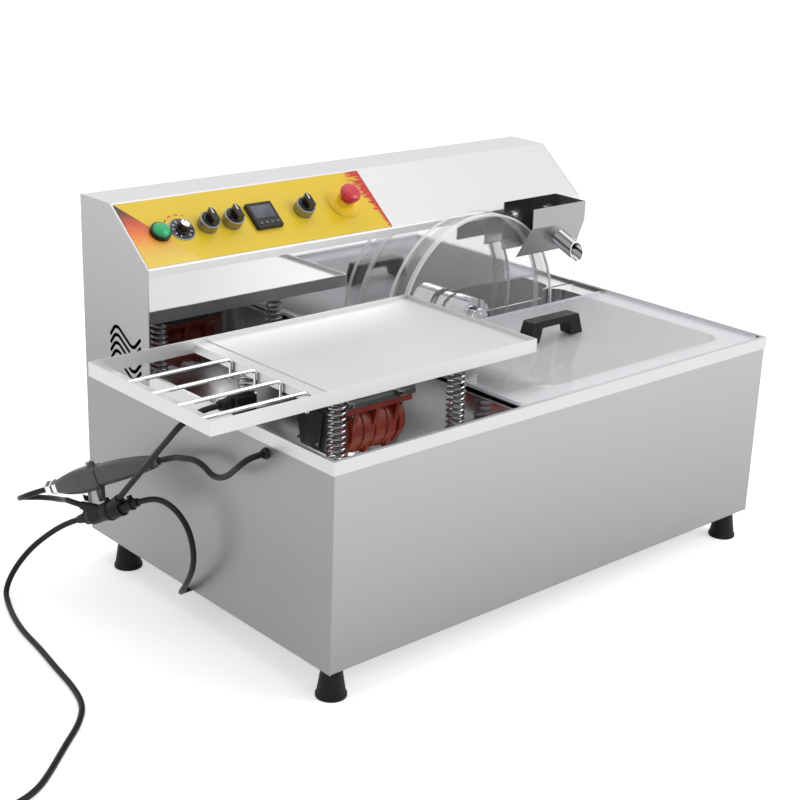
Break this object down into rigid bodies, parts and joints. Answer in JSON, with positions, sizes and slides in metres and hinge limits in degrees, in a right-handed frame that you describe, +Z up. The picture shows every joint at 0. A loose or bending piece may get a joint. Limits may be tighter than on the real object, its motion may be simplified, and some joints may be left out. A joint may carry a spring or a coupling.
{
  "type": "chocolate melting tank",
  "caption": "Table-top steel chocolate melting tank with clear turning wheel, lift-out lid, scraper spout, sloping controls and sprung vibrating table.",
  "frame": {"origin": "centre of the machine's footprint, vibrating table included and cords left out, on the surface it stands on", "axes": "+Z up, +X to the operator's right, +Y away from the operator towards the control console"},
  "size_m": [1.4266, 0.6619, 0.585],
  "materials": {
    "steel": "fine brushed",
    "polished": "mirror polished",
    "overlay": "printed film, yellow with a warm fade at both ends",
    "clear": "clear acrylic",
    "black": "satin black",
    "gloss_black": "gloss black",
    "rubber": "matt",
    "casting": "red-brown paint on a rough casting",
    "green": "translucent lens",
    "red": "gloss",
    "yellow": "gloss",
    "grey": "moulded",
    "sheet": "satin sheet",
    "motor": "dark paint"
  },
  "bodies": {
    "cabinet": {"left_side_panel": "steel", "right_side_panel": "steel", "front_panel": "steel", "rear_panel": "steel", "bottom_plate": "steel", "top_rim": "steel", "back_wall": "polished", "console_cover": "steel", "panel_overlay": "overlay", "well_pan": "steel", "melting_tank": "steel", "tank_heater": "rubber", "gearmotor": "motor", "shaft_bearing": "polished", "control_bezels": "polished", "pilot_lens": "green", "estop_base": "yellow", "controller_case": "black", "feet": "rubber", "cord_glands": "black", "scraper_studs": "polished", "scraper_hopper": "sheet", "scraper_blade": "rubber", "spout_tube": "polished", "table_cord": "rubber", "base_cord": "rubber", "link_cord": "rubber", "unit_cord": "rubber", "mains_lead": "rubber", "cord_coil": "rubber", "mains_plug": "black", "cord_splice": "black", "hand_unit": "grey"},
    "wheel": {"wheel": "clear", "wheel_hub": "polished", "hub_rings": "rubber", "drive_shaft": "polished", "lock_nut": "polished"},
    "lid": {"lid_sheet": "clear", "lid_handle": "gloss_black", "handle_screws": "polished"},
    "table": {"tray_frame": "steel", "tray_plate": "steel", "tray_rods": "polished", "motor_bracket": "polished", "vibration_motor": "casting", "motor_fasteners": "polished", "springs": "polished"},
    "rotor": {"motor_rotor": "motor"},
    "speed_knob": {"speed_knob": "black"},
    "selector_a": {"selector_knob_a": "gloss_black"},
    "selector_b": {"selector_knob_b": "gloss_black"},
    "selector_c": {"selector_knob_c": "gloss_black"},
    "stop_button": {"estop_button": "red"},
    "key_1": {"controller_key_1": "grey"},
    "key_2": {"controller_key_2": "grey"},
    "key_3": {"controller_key_3": "grey"},
    "key_4": {"controller_key_4": "grey"},
    "lever_1": {"unit_lever_1": "polished"},
    "lever_2": {"unit_lever_2": "grey"}
  },
  "joints": [
    {"name": "wheel_spin", "type": "hinge", "parent": "cabinet", "child": "wheel", "pos_m": [0.2145, 0.0525, 0.351], "axis": [0, 1, 0], "continuous": true},
    {"name": "lid_lift", "type": "slide", "parent": "cabinet", "child": "lid", "axis": [0, 0, 1], "range_m": [0, 0.035]},
    {"name": "table_bounce", "type": "slide", "parent": "cabinet", "child": "table", "axis": [0, 0, 1], "range_m": [-0.003, 0.003], "stiffness_N_per_m": 30000, "springref_m": 0.0027, "deforming": ["springs"]},
    {"name": "rotor_spin", "type": "hinge", "parent": "table", "child": "rotor", "pos_m": [-0.2525, -0.1125, 0.31], "axis": [1, 0, 0], "continuous": true},
    {"name": "speed_turn", "type": "hinge", "parent": "cabinet", "child": "speed_knob", "pos_m": [-0.2895, 0.16926, 0.5446], "axis": [0, -0.6267, 0.7793], "range_deg": [-300, 0]},
    {"name": "selector_a_turn", "type": "hinge", "parent": "cabinet", "child": "selector_a", "pos_m": [-0.2455, 0.16926, 0.5446], "axis": [0, -0.6267, 0.7793], "range_deg": [-45, 45]},
    {"name": "selector_b_turn", "type": "hinge", "parent": "cabinet", "child": "selector_b", "pos_m": [-0.2015, 0.16926, 0.5446], "axis": [0, -0.6267, 0.7793], "range_deg": [-45, 45]},
    {"name": "selector_c_turn", "type": "hinge", "parent": "cabinet", "child": "selector_c", "pos_m": [-0.0665, 0.16926, 0.5446], "axis": [0, -0.6267, 0.7793], "range_deg": [-45, 45]},
    {"name": "stop_press", "type": "slide", "parent": "cabinet", "child": "stop_button", "axis": [0, 0.6267, -0.7793], "range_m": [0, 0.006], "stiffness_N_per_m": 1500, "springref_m": -0.002},
    {"name": "key_1_press", "type": "slide", "parent": "cabinet", "child": "key_1", "axis": [0, 0.6267, -0.7793], "range_m": [0, 0.001], "stiffness_N_per_m": 800, "springref_m": -0.0005},
    {"name": "key_2_press", "type": "slide", "parent": "cabinet", "child": "key_2", "axis": [0, 0.6267, -0.7793], "range_m": [0, 0.001], "stiffness_N_per_m": 800, "springref_m": -0.0005},
    {"name": "key_3_press", "type": "slide", "parent": "cabinet", "child": "key_3", "axis": [0, 0.6267, -0.7793], "range_m": [0, 0.001], "stiffness_N_per_m": 800, "springref_m": -0.0005},
    {"name": "key_4_press", "type": "slide", "parent": "cabinet", "child": "key_4", "axis": [0, 0.6267, -0.7793], "range_m": [0, 0.001], "stiffness_N_per_m": 800, "springref_m": -0.0005},
    {"name": "lever_1_squeeze", "type": "hinge", "parent": "cabinet", "child": "lever_1", "pos_m": [-0.46619, 0.16903, 0.18414], "axis": [-0.9038, -0.4279, 0], "range_deg": [-12, 12], "stiffness_Nm_per_rad": 0.2},
    {"name": "lever_2_squeeze", "type": "hinge", "parent": "cabinet", "child": "lever_2", "pos_m": [-0.45594, 0.14738, 0.19426], "axis": [-0.9038, -0.4279, 0], "range_deg": [-12, 12], "stiffness_Nm_per_rad": 0.2}
  ]
}
